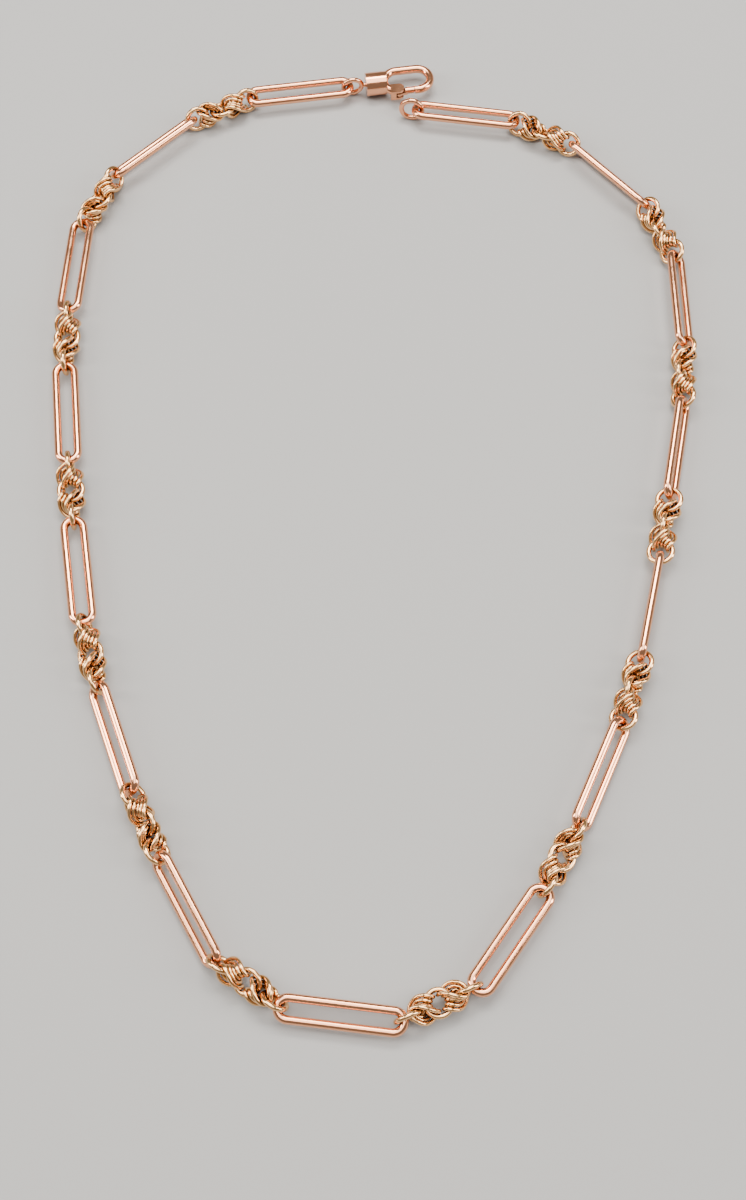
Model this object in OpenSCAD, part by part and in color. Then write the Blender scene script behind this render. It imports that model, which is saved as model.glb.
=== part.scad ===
// Pocket watch chain: long oval links joined by knots of bound rings, with a swivel clip.
// The chain lies on a flat surface in an open loop, clip and end ring side by side.

/* [Long links] */
// Outside length of a long link
link_length = 22.6; // [20:0.1:30]
// Outside width of a long link
link_width = 5.1; // [4.6:0.1:5.3]
// Thickness of the wire of a long link
link_wire = 1.5; // [1.2:0.05:1.7]

/* [Knots] */
// Distance between the centres of the two end rings of a knot
knot_span = 11.05; // [11:0.05:11.1]
// Mean radius of an end ring
eye_radius = 2.2; // [2.15:0.05:2.3]
// Wire of an end ring
eye_wire = 0.95; // [0.8:0.05:1]
// Mean radius of the ring in the middle of a knot
middle_radius = 2.22; // [2.18:0.01:2.26]
// Wire of the middle ring
middle_wire = 0.9; // [0.7:0.05:0.95]
// Wire of the loops that bind the three rings together
loop_wire = 0.7; // [0.6:0.01:0.72]

/* [Swivel clip] */
// Mean radius of the swivel's ring
swivel_radius = 1.9; // [1.8:0.05:2.1]
// Wire of the swivel's ring
swivel_wire = 1; // [0.9:0.05:1.1]
// Outside diameter of the collar that the swivel turns in
collar_diameter = 4.8; // [4.4:0.1:5.2]
// Length of the collar
collar_length = 4.2; // [4:0.1:6]
// Width of the hook between the middles of its two sides
hook_width = 5.4; // [5:0.1:6.4]
// Length of the straight sides of the hook
hook_side = 4.2; // [3.6:0.1:7]
// Thickness of the hook
hook_wire = 1.7; // [1.5:0.05:1.8]
// Thickness of the gate
gate_wire = 1.4; // [1.2:0.05:1.5]
// Diameter of the pin that the gate turns on
gate_pin = 0.8; // [0.6:0.05:0.9]

/* [End ring] */
// Mean radius of the ring at the other end
end_ring_radius = 2.15; // [2.1:0.05:2.6]
// Wire of the ring at the other end
end_ring_wire = 1.05; // [0.9:0.05:1.2]

/* [Fit] */
// Gap between two wires that hang in each other
play = 0.15; // [0.12:0.01:0.2]
// Gap between the parts of the clip
clip_gap = 0.15; // [0.1:0.01:0.2]

/* [Hidden] */
$fn = 64;

// Direction in which each long link lies, in degrees, from the clip to the end ring
link_heading = [-172, -137, -94, -84, -81, -70, -61, -7, 55, 66, 77, 79, 91, 133, 172];
// How far each long link is rolled about its own length, in degrees
link_roll = [0, 46, 10, 0, 0, 46, 54, 16, 0, 48, 88, 62, 46, 56, 10];
// Moves the loop so that its outline is centred on the origin
lay_shift = [-15.4, 94.3];

link_count = len(link_heading);
knot_count = link_count - 1;
// The rings of a standing knot rest on the surface
axis_height = eye_radius + eye_wire / 2;
// From the middle of a link to the middle of the wire at its end
link_reach = (link_length - link_wire) / 2;
end_bend = (link_width - link_wire) / 2;
// From the middle of a knot to the middle of the outer wire of an end ring
ring_reach = knot_span / 2 + eye_radius;
// From there to the middle of the link wire that hangs in the ring
wire_step = (eye_wire + link_wire) / 2 + play;

// Binding loops: 14 points round each loop, and a six-sided wire
loop_steps = 14;
loop_sides = 6;
// Each row: reach towards the end ring, reach towards the middle, then the sideways
// place at the end ring, half way along and at the middle ring, and the loop's depth
centre_loop = [4.25, 1.35, 0, 0, 0, 1.1];
inner_loop = [4.5, 1.05, 0.75, 0.75, 0.75, 1.5];
outer_loop = [5.15, 0.4, 1.25, 1.55, 1.25, 1.75];

// The clip lies along +X from the middle of the wire it hangs on
swivel_hang = swivel_radius - swivel_wire / 2 - link_wire / 2 - play;
neck_start = swivel_hang + swivel_radius;
neck_diameter = 0.9;
// Bare length of the neck between the swivel's ring and the collar
neck_length = 0.4;
collar_start = neck_start + swivel_wire / 2 + neck_length;
collar_end = collar_start + collar_length;
collar_wall = 0.9;
head_diameter = 2.2;
head_length = 1;
head_start = collar_start + collar_wall + clip_gap;
cavity_end = head_start + head_length + clip_gap;
hook_bend = hook_width / 2;
// The hook's inner bend is let into the end of the collar by this much
hook_inset = 0.3;
// Middles of the inner and the outer bend of the hook
hook_root = collar_end + hook_bend - hook_inset;
hook_end = hook_root + hook_side;
// The gate turns between two cheeks
cheek_diameter = 2.2;
cheek_length = 1.8;
cheek_height = 2.4;
slot_diameter = 2.6;
slot_height = 1.4;
knuckle_diameter = 1.9;
tongue_height = slot_height - 2 * clip_gap;
// The coil of the gate's spring lies on the pin beside the gate's knuckle
knuckle_height = 0.6;
spring_wire = 0.2;
spring_turns = 2;
// The coils are pressed together by a fifth of their wire, and clear the pin
spring_pitch = 0.8 * spring_wire;
spring_radius = (gate_pin + spring_wire) / 2 + 0.08;
// The flat root of the gate runs this far into its round rod
tongue_lap = 0.4;
// Cutting bodies reach past the faces that they cut by this much
cut_past = 1;
// The tips of the hook and of the gate meet in a step
tip_lap = 0.9;
end_ring_hang = end_ring_radius - end_ring_wire / 2 - link_wire / 2 - play;

function heading_of_knot(k) = (link_heading[k] + link_heading[k + 1]) / 2;
function roll_of_knot(k) = 90 + (link_roll[k] + link_roll[k + 1]) / 2;
function along(angle, distance) = [cos(angle), sin(angle)] * distance;
// A flat link leans about the wire of the end ring, and a link on its edge about its own
// wire, so the step from one wire to the other turns with the link or with the knot
function lean(i, k) =
    heading_of_knot(k) + (link_heading[i] - heading_of_knot(k)) * cos(link_roll[i]);
function link_centre(i) =
    i == 0
        ? lay_shift
        : knot_centre(i - 1)
            + along(heading_of_knot(i - 1), ring_reach)
            - along(lean(i, i - 1), wire_step)
            + along(link_heading[i], link_reach);
function knot_centre(k) =
    link_centre(k)
        + along(link_heading[k], link_reach)
        - along(lean(k, k), wire_step)
        + along(heading_of_knot(k), ring_reach);

module lay(centre, heading, roll)
    translate([centre[0], centre[1], axis_height])
        rotate([0, 0, heading])
            rotate([roll, 0, 0])
                children();

module ring(radius, wire)
    rotate_extrude()
        translate([radius, 0])
            circle(d = wire);

module bar(length, wire)
    rotate([0, 90, 0])
        cylinder(h = length, d = wire, center = true);

// Half a ring whose ends point back along -X
module half_ring(radius, wire)
    rotate([0, 0, -90])
        rotate_extrude(angle = 180)
            translate([radius, 0])
                circle(d = wire);

module long_link(i)
    color("#d99a80")
        lay(link_centre(i), link_heading[i], link_roll[i])
            oval(link_reach - end_bend, end_bend, link_wire);

// A closed oval of round wire: two straight sides and two half rings
module oval(half_straight, bend, wire)
    union() {
        for (side = [-1, 1])
            translate([0, side * bend, 0])
                bar(2 * half_straight, wire);
        for (turn = [0, 180])
            rotate([0, 0, turn])
                translate([half_straight, 0, 0])
                    half_ring(bend, wire);
    }

// The two end rings lie in one plane and the middle ring stands across it
module knot_rings(k)
    color("#dca07c")
        lay(knot_centre(k), heading_of_knot(k), roll_of_knot(k)) {
            for (side = [-1, 1])
                translate([side * knot_span / 2, 0, 0])
                    ring(eye_radius, eye_wire);
            rotate([90, 0, 0])
                ring(middle_radius, middle_wire);
        }

// A binding loop goes round the wires of an end ring and of the middle ring.
// Its plane turns a quarter turn between the two.
function loop_point(form, side, a) =
    let (
        share = (1 - cos(a)) / 2,
        turned = 90 * share,
        x = (form[0] + form[1]) / 2 + (form[0] - form[1]) / 2 * cos(a),
        at_ends = form[2] + (form[4] - form[2]) * share,
        across = side * (at_ends + (form[3] - (form[2] + form[4]) / 2) * pow(sin(a), 2)),
        depth = form[5] * sin(a)
    )
    [
        x,
        across * cos(turned) + depth * sin(turned),
        depth * cos(turned) - across * sin(turned)
    ];

function unit(v) = v / norm(v);

// Points of a closed round wire along a closed path
function wire_points(path, wire, sides) =
    let (
        n = len(path),
        middle = [for (axis = [0 : 2]) (path[0][axis] + path[floor(n / 2)][axis]) / 2]
    )
    [
        for (i = [0 : n - 1])
            let (
                ahead = unit(path[(i + 1) % n] - path[(i + n - 1) % n]),
                level = unit(cross(ahead, path[i] - middle)),
                out = cross(level, ahead)
            )
            for (j = [0 : sides - 1])
                path[i] + wire / 2 * (level * cos(360 * j / sides) + out * sin(360 * j / sides))
    ];

function wire_faces(n, sides) =
    [
        for (i = [0 : n - 1])
            for (j = [0 : sides - 1])
                let (
                    a = i * sides + j,
                    b = i * sides + (j + 1) % sides,
                    c = (i + 1) % n * sides + (j + 1) % sides,
                    d = (i + 1) % n * sides + j
                )
                each [[a, b, c], [a, c, d]]
    ];

module binding_loop(form, side)
    polyhedron(
        points = wire_points(
            [for (i = [0 : loop_steps - 1]) loop_point(form, side, 360 * i / loop_steps)],
            loop_wire,
            loop_sides
        ),
        faces = wire_faces(loop_steps, loop_sides)
    );

// Five loops at each end of the knot: one in the middle and two on each side of it
module knot_loops(k)
    color("#d8a878")
        lay(knot_centre(k), heading_of_knot(k), roll_of_knot(k))
            for (turn = [0, 180])
                rotate([0, 0, turn]) {
                    binding_loop(centre_loop, 1);
                    for (form = [inner_loop, outer_loop])
                        for (side = [-1, 1])
                            binding_loop(form, side);
                }

// Places a part at the outer end of the first link, with +X pointing away from the chain
module at_first_end()
    lay(link_centre(0), link_heading[0], link_roll[0])
        rotate([0, 0, 180])
            translate([link_reach, 0, 0])
                children();

module at_last_end()
    lay(link_centre(link_count - 1), link_heading[link_count - 1], link_roll[link_count - 1])
        translate([link_reach, 0, 0])
            children();

// A ring, a neck and a head that turns inside the collar
module clip_swivel()
    color("#d9a07c")
        at_first_end()
            union() {
                translate([swivel_hang, 0, 0])
                    rotate([90, 0, 0])
                        ring(swivel_radius, swivel_wire);
                rod(neck_start, head_start + head_length, neck_diameter);
                rod(head_start, head_start + head_length, head_diameter);
            }

// A round rod along X
module rod(start, end, diameter)
    translate([start, 0, 0])
        rotate([0, 90, 0])
            cylinder(h = end - start, d = diameter);

module clip_body()
    color("#d99a80")
        at_first_end()
            difference() {
                union() {
                    rod(collar_start, collar_end, collar_diameter);
                    hook();
                    translate([hook_root, -hook_bend, 0])
                        linear_extrude(cheek_height, center = true)
                            cheek();
                }
                rod(collar_start - cut_past, head_start, neck_diameter + 2 * clip_gap);
                rod(head_start - clip_gap, cavity_end, head_diameter + 2 * clip_gap);
                translate([hook_root, -hook_bend, 0])
                    gate_slot();
            }

// The hook is an oval with one side left open for the gate
module hook() {
    translate([hook_root, 0, 0])
        rotate([0, 0, 180])
            half_ring(hook_bend, hook_wire);
    translate([hook_root, hook_bend, 0])
        rod(0, hook_side, hook_wire);
    translate([hook_end, 0, 0])
        half_ring(hook_bend, hook_wire);
    // The outer half of the tip reaches over the end of the gate
    intersection() {
        translate([hook_end, -hook_bend, 0])
            rod(-tip_lap, 0, hook_wire);
        translate([hook_end - tip_lap - cut_past, -hook_bend - hook_wire, -hook_wire])
            cube([tip_lap + 2 * cut_past, hook_wire - clip_gap / 2, 2 * hook_wire]);
    }
}

module cheek() {
    circle(d = cheek_diameter);
    translate([-cheek_length, -cheek_diameter / 2])
        square([cheek_length, cheek_diameter]);
}

module gate_slot() {
    cylinder(h = slot_height, d = slot_diameter, center = true);
    cylinder(h = cheek_height + cut_past, d = gate_pin, center = true);
}

// The gate turns about Z at the end of the hook's inner bend
module at_gate_pin()
    at_first_end()
        translate([hook_root, -hook_bend, 0])
            children();

module clip_gate()
    color("#d99a80")
        at_gate_pin()
            difference() {
                union() {
                    translate([0, 0, -tongue_height / 2])
                        cylinder(h = knuckle_height, d = knuckle_diameter);
                    translate([0, -gate_wire / 2, -tongue_height / 2])
                        cube([slot_diameter / 2 + tongue_lap, gate_wire, knuckle_height]);
                    rod(slot_diameter / 2, hook_side - clip_gap, gate_wire);
                }
                cylinder(h = cheek_height, d = gate_pin + clip_gap, center = true);
                translate([hook_side - tip_lap - clip_gap, -gate_wire, -gate_wire])
                    cube([tip_lap + cut_past, gate_wire + clip_gap / 2, 2 * gate_wire]);
            }

module clip_pin()
    color("#c08a70")
        at_gate_pin()
            cylinder(h = cheek_height, d = gate_pin, center = true);

// A coil round the pin with one leg that lies along the gate
module clip_spring()
    color("#b9b4ae")
        at_gate_pin()
            translate([0, 0, knuckle_height - tongue_height / 2 + spring_wire])
                union() {
                    for (turn = [0 : spring_turns - 1])
                        translate([0, 0, turn * spring_pitch])
                            ring(spring_radius, spring_wire);
                    translate([0, spring_radius, 0])
                        rod(0, slot_diameter / 2 - spring_wire, spring_wire);
                }

module end_ring()
    color("#d99a80")
        at_last_end()
            translate([end_ring_hang, 0, 0])
                rotate([90, 0, 0])
                    ring(end_ring_radius, end_ring_wire);

function two_digits(i) = i < 10 ? str("0", i) : str(i);
function link_name(i) = str("link_", two_digits(i));
function rings_name(k) = str("knot_", two_digits(k), "_rings");
function loops_name(k) = str("knot_", two_digits(k), "_loops");

for (i = [0 : link_count - 1])
    long_link(i);
for (k = [0 : knot_count - 1]) {
    knot_rings(k);
    knot_loops(k);
}
clip_swivel();
clip_body();
clip_gate();
clip_pin();
clip_spring();
end_ring();
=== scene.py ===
"""Pocket watch chain: long oval links, knots of bound rings, a swivel clip and an end ring."""

import math

import bpy
from mathutils import Matrix, Vector


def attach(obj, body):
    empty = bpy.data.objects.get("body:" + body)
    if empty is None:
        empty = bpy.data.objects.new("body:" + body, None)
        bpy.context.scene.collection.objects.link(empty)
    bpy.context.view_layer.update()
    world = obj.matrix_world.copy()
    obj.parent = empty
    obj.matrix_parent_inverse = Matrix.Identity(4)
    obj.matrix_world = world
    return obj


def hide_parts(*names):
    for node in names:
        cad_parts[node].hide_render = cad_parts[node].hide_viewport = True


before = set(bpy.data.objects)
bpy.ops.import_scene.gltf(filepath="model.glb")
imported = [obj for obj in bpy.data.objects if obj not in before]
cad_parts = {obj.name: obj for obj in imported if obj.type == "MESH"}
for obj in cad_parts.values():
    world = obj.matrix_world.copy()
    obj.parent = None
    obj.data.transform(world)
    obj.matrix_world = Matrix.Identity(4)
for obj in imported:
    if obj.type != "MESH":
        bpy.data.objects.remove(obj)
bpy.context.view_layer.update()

MM = 0.001

# Long links
LINK_LENGTH = 22.6 * MM
LINK_WIDTH = 5.1 * MM
LINK_WIRE = 1.5 * MM
# Knots
KNOT_SPAN = 11.05 * MM
EYE_RADIUS = 2.2 * MM
EYE_WIRE = 0.95 * MM
MIDDLE_RADIUS = 2.22 * MM
MIDDLE_WIRE = 0.9 * MM
LOOP_WIRE = 0.7 * MM
# Each binding loop: reach towards the end ring and towards the middle, sideways place at
# the end ring, half way along and at the middle ring, and depth
CENTRE_LOOP = [value * MM for value in (4.25, 1.35, 0, 0, 0, 1.1)]
INNER_LOOP = [value * MM for value in (4.5, 1.05, 0.75, 0.75, 0.75, 1.5)]
OUTER_LOOP = [value * MM for value in (5.15, 0.4, 1.25, 1.55, 1.25, 1.75)]
# Gap between two wires that hang in each other
PLAY = 0.15 * MM
# Ring at the end of the chain
END_RING_RADIUS = 2.15 * MM
END_RING_WIRE = 1.05 * MM

# Layout: direction and roll of each long link, from the clip to the end ring
LINK_HEADING = [-172, -137, -94, -84, -81, -70, -61, -7, 55, 66, 77, 79, 91, 133, 172]
LINK_ROLL = [0, 46, 10, 0, 0, 46, 54, 16, 0, 48, 88, 62, 46, 56, 10]
FIRST_LINK = Vector((-15.4, 94.3, 0)) * MM
AXIS_HEIGHT = EYE_RADIUS + EYE_WIRE / 2
LINK_REACH = (LINK_LENGTH - LINK_WIRE) / 2
LINK_BEND = (LINK_WIDTH - LINK_WIRE) / 2
# From the middle of a knot to the outer wire of an end ring, and on to the link's wire
RING_REACH = KNOT_SPAN / 2 + EYE_RADIUS
WIRE_STEP = (EYE_WIRE + LINK_WIRE) / 2 + PLAY
# From the wire of the last link to the middle of the ring that hangs in it
END_RING_HANG = END_RING_RADIUS - END_RING_WIRE / 2 - LINK_WIRE / 2 - PLAY

# Camera
AIM = Vector((-0.2, -22.4, 2.7)) * MM
CAMERA_DISTANCE = 336.5 * MM
CAMERA_ELEVATION = 65
CAMERA_LENS = 55.6
CAMERA_CLIP = (0.01, 10)

# Stage, in metres; each lamp has a place, a size, a power in watts and a colour
FLOOR_REACH = 1.6
FLOOR_COLOUR = (0.36, 0.356, 0.348)
FLOOR_ROUGHNESS = 0.8
WORLD_COLOUR = (0.27, 0.265, 0.256)
LAMPS = [
    ("overhead", (0.0, 0.0, 2.2), (2.0, 2.0), 60, (1, 0.98, 0.96)),
    ("behind", (0.0, 0.4, 0.75), (0.6, 0.2), 7, (1, 0.97, 0.93)),
    ("left", (-0.75, 0.0, 0.5), (0.2, 0.7), 7, (1, 0.96, 0.9)),
    ("right", (0.75, -0.1, 0.45), (0.2, 0.6), 6, (1, 0.96, 0.92)),
]

# Sides of a thin wire and of a long link's wire
WIRE_SIDES = 20
LINK_SIDES = 28
# Steps round a ring or a loop, round half a bend and along a straight side
RING_STEPS = 72
BEND_STEPS = 32
SIDE_STEPS = 24

# Metal: broad patches of uneven polish, fine scratches, and painted shade that darkens the colour in
# hollows
PATCH_SCALE = 420
PATCH_DETAIL = 4
PATCH_RANGE = (0.3, 0.7)
POLISH_SPREAD = (0.7, 1.4)
SCRATCH_SCALE = 900
SCRATCH_DETAIL = 3
SCRATCH_STRENGTH = 0.12
SCRATCH_DEPTH = 0.02 * MM
HOLLOW_SHADE_SAMPLES = 8
HOLLOW_SHADE_DISTANCE = 1.2 * MM
HOLLOW_SHADE_RANGE = (0.15, 0.8)


def along(angle, distance):
    return Vector((math.cos(math.radians(angle)), math.sin(math.radians(angle)), 0)) * distance


def placement(centre, heading, roll):
    """The place of a link or a knot: its own X lies along the chain."""
    place = Matrix.Translation(centre + Vector((0, 0, AXIS_HEIGHT)))
    place = place @ Matrix.Rotation(math.radians(heading), 4, "Z")
    return place @ Matrix.Rotation(math.radians(roll), 4, "X")


def lean(link, knot_heading):
    """Direction of the step from an end ring's wire to the wire of the link in it."""
    level = math.cos(math.radians(LINK_ROLL[link]))
    return knot_heading + (LINK_HEADING[link] - knot_heading) * level


def lay_out():
    """Places of all links and knots, by walking along the chain."""
    links = [placement(FIRST_LINK, LINK_HEADING[0], LINK_ROLL[0])]
    knots = []
    centre = FIRST_LINK
    for last in range(len(LINK_HEADING) - 1):
        following = last + 1
        heading = (LINK_HEADING[last] + LINK_HEADING[following]) / 2
        roll = 90 + (LINK_ROLL[last] + LINK_ROLL[following]) / 2
        ring = centre + along(LINK_HEADING[last], LINK_REACH) - along(lean(last, heading), WIRE_STEP)
        knots.append(placement(ring + along(heading, RING_REACH), heading, roll))
        ring = ring + along(heading, 2 * RING_REACH)
        wire = ring - along(lean(following, heading), WIRE_STEP)
        centre = wire + along(LINK_HEADING[following], LINK_REACH)
        links.append(placement(centre, LINK_HEADING[following], LINK_ROLL[following]))
    return links, knots


# --- camera -----------------------------------------------------------------------------


def make_camera():
    data = bpy.data.cameras.new("camera")
    data.lens = CAMERA_LENS
    data.clip_start, data.clip_end = CAMERA_CLIP
    camera = bpy.data.objects.new("camera", data)
    bpy.context.scene.collection.objects.link(camera)
    tilt = math.radians(CAMERA_ELEVATION)
    back = Vector((0, -math.cos(tilt), math.sin(tilt)))
    camera.location = AIM + back * CAMERA_DISTANCE
    camera.rotation_euler = (-back).to_track_quat("-Z", "Y").to_euler()
    bpy.context.scene.camera = camera


make_camera()

# --- wires ------------------------------------------------------------------------------


def ring_path(radius):
    turns = [2 * math.pi * i / RING_STEPS for i in range(RING_STEPS)]
    return [Vector((radius * math.cos(a), radius * math.sin(a), 0)) for a in turns]


def oval_path(half_straight, bend):
    """Two half rings joined by two straight sides."""
    points = []
    for side in (1, -1):
        for i in range(BEND_STEPS):
            a = math.pi * (i / BEND_STEPS - 0.5)
            points.append(Vector((half_straight + bend * math.cos(a), bend * math.sin(a), 0)) * side)
        for i in range(SIDE_STEPS):
            x = half_straight * (1 - 2 * i / SIDE_STEPS)
            points.append(Vector((x, bend, 0)) * side)
    return points


def loop_path(form, side):
    """One binding loop: it turns a quarter turn between the end ring and the middle ring."""
    near, far, at_ring, half_way, at_middle, depth = form
    points = []
    for i in range(RING_STEPS):
        a = 2 * math.pi * i / RING_STEPS
        share = (1 - math.cos(a)) / 2
        twist = math.pi / 2 * share
        x = (near + far) / 2 + (near - far) / 2 * math.cos(a)
        bulge = (half_way - (at_ring + at_middle) / 2) * math.sin(a) ** 2
        across = side * (at_ring + (at_middle - at_ring) * share + bulge)
        deep = depth * math.sin(a)
        y = across * math.cos(twist) + deep * math.sin(twist)
        z = deep * math.cos(twist) - across * math.sin(twist)
        points.append(Vector((x, y, z)))
    return points


def turned(points, turn):
    return [turn @ point for point in points]


class WireMesh:
    """Collects closed round wires into one mesh."""

    def __init__(self):
        self.points = []
        self.faces = []

    def closed_wire(self, path, wire, sides=WIRE_SIDES):
        """Adds a round wire along a closed path."""
        count = len(path)
        middle = sum(path, Vector()) / count
        start = len(self.points)
        for i, point in enumerate(path):
            ahead = (path[(i + 1) % count] - path[i - 1]).normalized()
            level = ahead.cross(point - middle).normalized()
            out = level.cross(ahead)
            for j in range(sides):
                a = 2 * math.pi * j / sides
                self.points.append(point + (level * math.cos(a) + out * math.sin(a)) * wire / 2)
        for i in range(count):
            for j in range(sides):
                a = start + i * sides + j
                b = start + i * sides + (j + 1) % sides
                c = start + (i + 1) % count * sides + (j + 1) % sides
                d = start + (i + 1) % count * sides + j
                self.faces.append((a, b, c, d))

    def make(self, name, material, place):
        mesh = bpy.data.meshes.new(name)
        mesh.from_pydata(self.points, [], self.faces)
        for face in mesh.polygons:
            face.use_smooth = True
        mesh.materials.append(material)
        piece = bpy.data.objects.new(name, mesh)
        bpy.context.scene.collection.objects.link(piece)
        piece.matrix_world = place
        return piece


# --- materials --------------------------------------------------------------------------


def polished(name, colour, painted_shade, roughness):
    """Polished metal, in its own colour where it is open, with painted shade darkening it in
    hollows.
    """
    material = bpy.data.materials.new(name)
    material.use_nodes = True
    nodes = material.node_tree.nodes
    links = material.node_tree.links
    shader = nodes["Principled BSDF"]
    shader.inputs["Metallic"].default_value = 1
    place = nodes.new("ShaderNodeTexCoord")

    patches = nodes.new("ShaderNodeTexNoise")
    patches.inputs["Scale"].default_value = PATCH_SCALE
    patches.inputs["Detail"].default_value = PATCH_DETAIL
    links.new(place.outputs["Object"], patches.inputs["Vector"])

    # Painted shade: ambient occlusion darkens the base colour in hollows and between wires
    hollow_shade = nodes.new("ShaderNodeAmbientOcclusion")
    hollow_shade.samples = HOLLOW_SHADE_SAMPLES
    hollow_shade.inputs["Distance"].default_value = HOLLOW_SHADE_DISTANCE
    depth = nodes.new("ShaderNodeMapRange")
    depth.inputs["From Min"].default_value = HOLLOW_SHADE_RANGE[0]
    depth.inputs["From Max"].default_value = HOLLOW_SHADE_RANGE[1]
    links.new(hollow_shade.outputs["AO"], depth.inputs["Value"])

    shaded_colour = nodes.new("ShaderNodeMix")
    shaded_colour.data_type = "RGBA"
    shaded_colour.inputs["A"].default_value = (*painted_shade, 1)
    shaded_colour.inputs["B"].default_value = (*colour, 1)
    links.new(depth.outputs["Result"], shaded_colour.inputs["Factor"])
    links.new(shaded_colour.outputs["Result"], shader.inputs["Base Color"])

    polish = nodes.new("ShaderNodeMapRange")
    polish.inputs["From Min"].default_value = PATCH_RANGE[0]
    polish.inputs["From Max"].default_value = PATCH_RANGE[1]
    polish.inputs["To Min"].default_value = roughness * POLISH_SPREAD[0]
    polish.inputs["To Max"].default_value = roughness * POLISH_SPREAD[1]
    links.new(patches.outputs["Fac"], polish.inputs["Value"])
    links.new(polish.outputs["Result"], shader.inputs["Roughness"])

    scratches = nodes.new("ShaderNodeTexNoise")
    scratches.inputs["Scale"].default_value = SCRATCH_SCALE
    scratches.inputs["Detail"].default_value = SCRATCH_DETAIL
    links.new(place.outputs["Object"], scratches.inputs["Vector"])
    relief = nodes.new("ShaderNodeBump")
    relief.inputs["Strength"].default_value = SCRATCH_STRENGTH
    relief.inputs["Distance"].default_value = SCRATCH_DEPTH
    links.new(scratches.outputs["Fac"], relief.inputs["Height"])
    links.new(relief.outputs["Normal"], shader.inputs["Normal"])
    return material


# The second colour of each metal is painted shade for its hollows
LINK_GOLD = polished("link_gold", (0.93, 0.43, 0.235), (0.30, 0.10, 0.038), 0.14)
KNOT_GOLD = polished("knot_gold", (0.93, 0.54, 0.245), (0.22, 0.09, 0.015), 0.16)
SPRING_STEEL = polished("spring_steel", (0.62, 0.60, 0.57), (0.20, 0.19, 0.18), 0.25)

# --- pieces -----------------------------------------------------------------------------

link_places, knot_places = lay_out()
# A ring's path lies flat: this stands it on its edge
upright = Matrix.Rotation(math.pi / 2, 4, "X")

for i, place in enumerate(link_places):
    wires = WireMesh()
    wires.closed_wire(oval_path(LINK_REACH - LINK_BEND, LINK_BEND), LINK_WIRE, LINK_SIDES)
    name = f"link_{i:02d}"
    piece = wires.make(f"long_{name}", LINK_GOLD, place)
    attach(piece, name)
    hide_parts(name)

for k, place in enumerate(knot_places):
    name = f"knot_{k:02d}"
    wires = WireMesh()
    for side in (-1, 1):
        shift = Matrix.Translation((side * KNOT_SPAN / 2, 0, 0))
        wires.closed_wire(turned(ring_path(EYE_RADIUS), shift), EYE_WIRE)
    wires.closed_wire(turned(ring_path(MIDDLE_RADIUS), upright), MIDDLE_WIRE)
    piece = wires.make(f"{name}_round_rings", KNOT_GOLD, place)
    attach(piece, name)
    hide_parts(f"{name}_rings")

    wires = WireMesh()
    for half_turn in (0, math.pi):
        turn = Matrix.Rotation(half_turn, 4, "Z")
        wires.closed_wire(turned(loop_path(CENTRE_LOOP, 1), turn), LOOP_WIRE)
        for form in (INNER_LOOP, OUTER_LOOP):
            for side in (-1, 1):
                wires.closed_wire(turned(loop_path(form, side), turn), LOOP_WIRE)
    piece = wires.make(f"{name}_binding", KNOT_GOLD, place)
    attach(piece, name)
    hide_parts(f"{name}_loops")

wires = WireMesh()
wires.closed_wire(ring_path(END_RING_RADIUS), END_RING_WIRE)
past_link = Matrix.Translation((LINK_REACH + END_RING_HANG, 0, 0))
piece = wires.make("end_ring_round", LINK_GOLD, link_places[-1] @ past_link @ upright)
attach(piece, "end_ring")
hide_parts("end_ring")

# The clip's own CAD shapes show, and only get their metal
CLIP_METALS = {
    "clip_swivel": LINK_GOLD,
    "clip_body": LINK_GOLD,
    "clip_gate": LINK_GOLD,
    "clip_pin": LINK_GOLD,
    "clip_spring": SPRING_STEEL,
}
for name, metal in CLIP_METALS.items():
    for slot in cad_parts[name].material_slots:
        slot.material = metal

# --- stage and light --------------------------------------------------------------------


def make_floor():
    mesh = bpy.data.meshes.new("floor")
    corners = [(-1, -1, 0), (1, -1, 0), (1, 1, 0), (-1, 1, 0)]
    mesh.from_pydata([Vector(corner) * FLOOR_REACH for corner in corners], [], [(0, 1, 2, 3)])
    material = bpy.data.materials.new("floor")
    material.use_nodes = True
    shader = material.node_tree.nodes["Principled BSDF"]
    shader.inputs["Base Color"].default_value = (*FLOOR_COLOUR, 1)
    shader.inputs["Roughness"].default_value = FLOOR_ROUGHNESS
    mesh.materials.append(material)
    floor = bpy.data.objects.new("floor", mesh)
    bpy.context.scene.collection.objects.link(floor)


def make_light(name, place, size, power, colour):
    data = bpy.data.lights.new(name, "AREA")
    data.shape = "RECTANGLE"
    data.size, data.size_y = size
    data.energy = power
    data.color = colour
    light = bpy.data.objects.new(name, data)
    light.location = place
    light.rotation_euler = (-Vector(place)).to_track_quat("-Z", "Y").to_euler()
    bpy.context.scene.collection.objects.link(light)


def make_world():
    world = bpy.data.worlds.new("studio")
    world.use_nodes = True
    world.node_tree.nodes["Background"].inputs["Color"].default_value = (*WORLD_COLOUR, 1)
    bpy.context.scene.world = world


make_floor()
make_world()
for lamp in LAMPS:
    make_light(*lamp)
